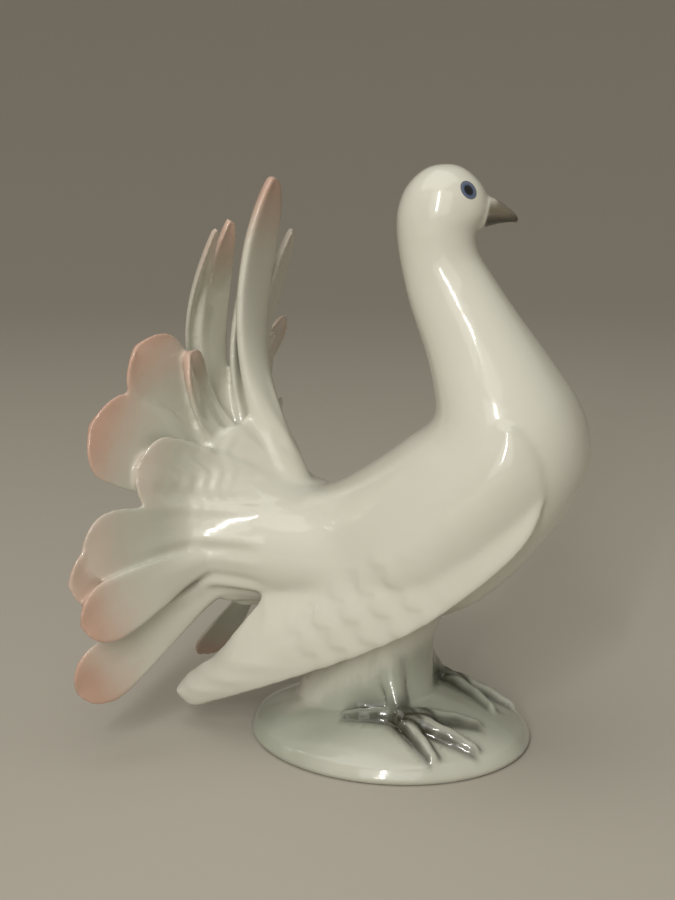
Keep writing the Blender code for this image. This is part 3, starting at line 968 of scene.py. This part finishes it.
def eye_rings(graph):
    """Distance from the middle of the painted eye on a point's own side, 1 at its edge."""
    place = graph.node("ShaderNodeTexCoord").outputs["Object"]
    shares = []
    for side in (-1.0, 1.0):
        cos = math.cos(HEAD_TURN)
        sin = math.sin(HEAD_TURN)
        ahead = Vector((cos, sin, 0.0))
        left = Vector((-sin, cos, 0.0))
        pivot = Vector((HEAD_PIVOT, 0.0, 0.0)) * PART
        first = ahead * math.cos(EYE_TILT) - Vector((0.0, 0.0, math.sin(EYE_TILT)))
        second = ahead * math.sin(EYE_TILT) + Vector((0.0, 0.0, math.cos(EYE_TILT)))
        middle = pivot + ahead * ((EYE[0] - HEAD_PIVOT) * PART) + Vector((0.0, 0.0, EYE[1] * PART))
        u = graph.number("SUBTRACT", graph.dot(place, first), first.dot(middle))
        v = graph.number("SUBTRACT", graph.dot(place, second), second.dot(middle))
        w = graph.number("SUBTRACT", graph.dot(place, left), left.dot(middle))
        u = graph.number("DIVIDE", u, EYE_HALF[0] * PART)
        v = graph.number("DIVIDE", v, EYE_HALF[1] * PART)
        squares = graph.number("ADD", graph.number("MULTIPLY", u, u), graph.number("MULTIPLY", v, v))
        round_ = graph.number("SQRT", squares)
        wrong_side = graph.number("LESS_THAN", graph.number("MULTIPLY", w, side), 0.0)
        shares.append(graph.number("ADD", round_, graph.number("MULTIPLY", wrong_side, 9.0)))
    return graph.number("MINIMUM", shares[0], shares[1])


def ramp(graph, value, stops):
    node = graph.node("ShaderNodeValToRGB")
    elements = node.color_ramp.elements
    for i, (place, colour) in enumerate(stops):
        element = elements[i] if i < 2 else elements.new(place)
        element.position = place
        element.color = (*colour, 1.0)
    graph.link(value, node.inputs["Fac"])
    return node.outputs["Color"]


# Glaze colours, some of them painted shade as marked: pairs are the two ends of a mottled one
WHITE = ((0.66, 0.645, 0.555), (0.70, 0.695, 0.61))
# Painted shade in the feathers' hollow faces
HOLLOW_SHADE_GREY = (0.33, 0.335, 0.27)
PINK = ((0.50, 0.27, 0.19), (0.58, 0.35, 0.26))
CELADON = ((0.28, 0.30, 0.24), (0.55, 0.57, 0.48))
# Dark brush lines round the toes, also standing for painted shade in the creases beside them and where
# the toes meet
INK_AND_SHADE = (0.028, 0.026, 0.014)
BEAK_TAUPE = ((0.13, 0.11, 0.078), (0.18, 0.155, 0.112))
# Painted shade on the beak's underside
BEAK_UNDER_SHADE = (0.05, 0.043, 0.03)
# Pale spot on top of the beak's root
BEAK_TOP_PALE = (0.62, 0.58, 0.48)
EYE_STOPS = [
    (0.0, (0.004, 0.004, 0.004)),
    (0.50, (0.006, 0.008, 0.012)),
    (0.60, (0.07, 0.10, 0.17)),
    (0.86, (0.13, 0.16, 0.24)),
    (1.0, (0.03, 0.035, 0.06)),
]
SHADE_STRENGTH = 0.55
PINK_STRENGTH = 0.85


def glazed_porcelain():
    graph = Graph("glazed_porcelain_painted")
    mottle = graph.noise(34.0, 3.0)
    colour = graph.mix(mottle, *WHITE)
    # Painted shade on the feathers' hollow faces
    shade = graph.number("MULTIPLY", graph.attribute("shade"), SHADE_STRENGTH)
    colour = graph.mix(shade, colour, HOLLOW_SHADE_GREY)
    blush = graph.mix(graph.noise(90.0), *PINK)
    pink = graph.number("MULTIPLY", graph.attribute("pink"), PINK_STRENGTH)
    colour = graph.mix(pink, colour, blush)
    green = graph.mix(mottle, *CELADON)
    colour = graph.mix(graph.attribute("celadon"), colour, green)
    # Ink lines and painted shade round the toes
    colour = graph.mix(graph.attribute("ink_and_shade"), colour, INK_AND_SHADE)
    beak = graph.mix(graph.noise(300.0), *BEAK_TAUPE)
    # Painted shade on the beak's underside
    beak = graph.mix(graph.attribute("beak_underside_shade"), beak, BEAK_UNDER_SHADE)
    beak = graph.mix(graph.attribute("cere"), beak, BEAK_TOP_PALE)
    colour = graph.mix(graph.attribute("beak"), colour, beak)
    ring = eye_rings(graph)
    eye = ramp(graph, ring, EYE_STOPS)
    past_edge = graph.number("MULTIPLY", graph.number("SUBTRACT", ring, 0.95), 10.0, True)
    inside = graph.number("SUBTRACT", 1.0, past_edge, True)
    colour = graph.mix(inside, colour, eye)
    graph.link(colour, graph.shader.inputs["Base Color"])
    rough = graph.number("ADD", graph.number("MULTIPLY", graph.noise(60.0), 0.06), 0.10)
    graph.link(rough, graph.shader.inputs["Roughness"])
    graph.shader.inputs["IOR"].default_value = 1.52
    graph.shader.inputs["Coat Weight"].default_value = 0.5
    graph.shader.inputs["Coat Roughness"].default_value = 0.04
    bump = graph.node("ShaderNodeBump")
    bump.inputs["Strength"].default_value = 0.12
    bump.inputs["Distance"].default_value = 0.0006
    graph.link(graph.noise(150.0, 2.0), bump.inputs["Height"])
    graph.link(bump.outputs["Normal"], graph.shader.inputs["Normal"])
    graph.link(bump.outputs["Normal"], graph.shader.inputs["Coat Normal"])
    return graph.material


# Flat radius of the studio floor, how far its rim curves up, and its colour
FLOOR_RADIUS = 1.2
FLOOR_RISE = 1.4
FLOOR_STEPS = 12
FLOOR_AROUND = 96
FLOOR_COLOUR = (0.48, 0.45, 0.39, 1.0)


def floor_piece():
    graph = Graph("pale_floor")
    graph.shader.inputs["Base Color"].default_value = FLOOR_COLOUR
    graph.shader.inputs["Roughness"].default_value = 0.8
    profile = [(FLOOR_RADIUS * i / 4, 0.0) for i in range(5)]
    for i in range(1, FLOOR_STEPS + 1):
        turn = 0.5 * math.pi * i / FLOOR_STEPS
        out = FLOOR_RADIUS + FLOOR_RISE * math.sin(turn)
        profile.append((out, FLOOR_RISE * (1.0 - math.cos(turn))))
    points = [(0.0, 0.0, 0.0)]
    faces = []
    for step, (radius, z) in enumerate(profile[1:]):
        first = 1 + step * FLOOR_AROUND
        for k in range(FLOOR_AROUND):
            a = 2.0 * math.pi * k / FLOOR_AROUND
            points.append((radius * math.cos(a), radius * math.sin(a), z))
            j = (k + 1) % FLOOR_AROUND
            if step == 0:
                faces.append((0, first + k, first + j))
            else:
                inner = first - FLOOR_AROUND
                faces.append((inner + k, first + k, first + j, inner + j))
    mesh = bpy.data.meshes.new("floor")
    mesh.from_pydata(points, [], faces)
    mesh.polygons.foreach_set("use_smooth", [True] * len(mesh.polygons))
    mesh.materials.append(graph.material)
    floor = bpy.data.objects.new("floor", mesh)
    bpy.context.scene.collection.objects.link(floor)


# Lights: name, azimuth, elevation, distance, size and power, all aimed at one point
AIM = Vector((-0.006, 0.0, 0.085))
LIGHTS = [
    ("key", 9.0, 27.0, 1.1, (0.04, 0.62), 4.5),
    ("top", -20.0, 75.0, 1.3, (1.4, 1.4), 6.0),
    ("front", 15.0, 22.0, 1.5, (1.2, 1.2), 5.0),
]
LIGHT_COLOUR = (1.0, 0.98, 0.94)
WORLD_COLOUR = (0.60, 0.57, 0.50, 1.0)
WORLD_STRENGTH = 0.45


def add_light(name, azimuth, elevation, distance, size, power):
    a = math.radians(azimuth)
    e = math.radians(elevation)
    back = Vector((math.sin(a) * math.cos(e), -math.cos(a) * math.cos(e), math.sin(e)))
    data = bpy.data.lights.new(name, "AREA")
    data.shape = "RECTANGLE"
    data.size = size[0]
    data.size_y = size[1]
    data.energy = power
    data.color = LIGHT_COLOUR
    light = bpy.data.objects.new(name, data)
    light.location = AIM + back * distance
    light.rotation_euler = (-back).to_track_quat("-Z", "Y").to_euler()
    bpy.context.scene.collection.objects.link(light)


def studio():
    world = bpy.data.worlds.new("studio")
    world.use_nodes = True
    background = world.node_tree.nodes["Background"]
    background.inputs["Color"].default_value = WORLD_COLOUR
    background.inputs["Strength"].default_value = WORLD_STRENGTH
    bpy.context.scene.world = world
    for light in LIGHTS:
        add_light(*light)
    bpy.context.scene.view_settings.view_transform = "Standard"


# Camera at the photograph's viewing angle, in metres, radians and millimetres of lens
CAMERA_PLACE = (0.13973, -0.34584, 0.162)
CAMERA_HEADING = math.radians(24.329)
CAMERA_DOWN = math.radians(11.793)
CAMERA_LENS = 54.08


def add_camera():
    data = bpy.data.cameras.new("camera")
    data.lens = CAMERA_LENS
    data.sensor_width = 36.0
    data.clip_start = 0.01
    camera = bpy.data.objects.new("camera", data)
    camera.location = CAMERA_PLACE
    camera.rotation_euler = (math.pi / 2.0 - CAMERA_DOWN, 0.0, CAMERA_HEADING)
    bpy.context.scene.collection.objects.link(camera)
    bpy.context.scene.camera = camera


figure, figure_labels = dove()
paint(figure, figure_labels)
figure.data.materials.append(glazed_porcelain())
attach(figure, "root")
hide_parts("fantail_dove")
floor_piece()
studio()
add_camera()
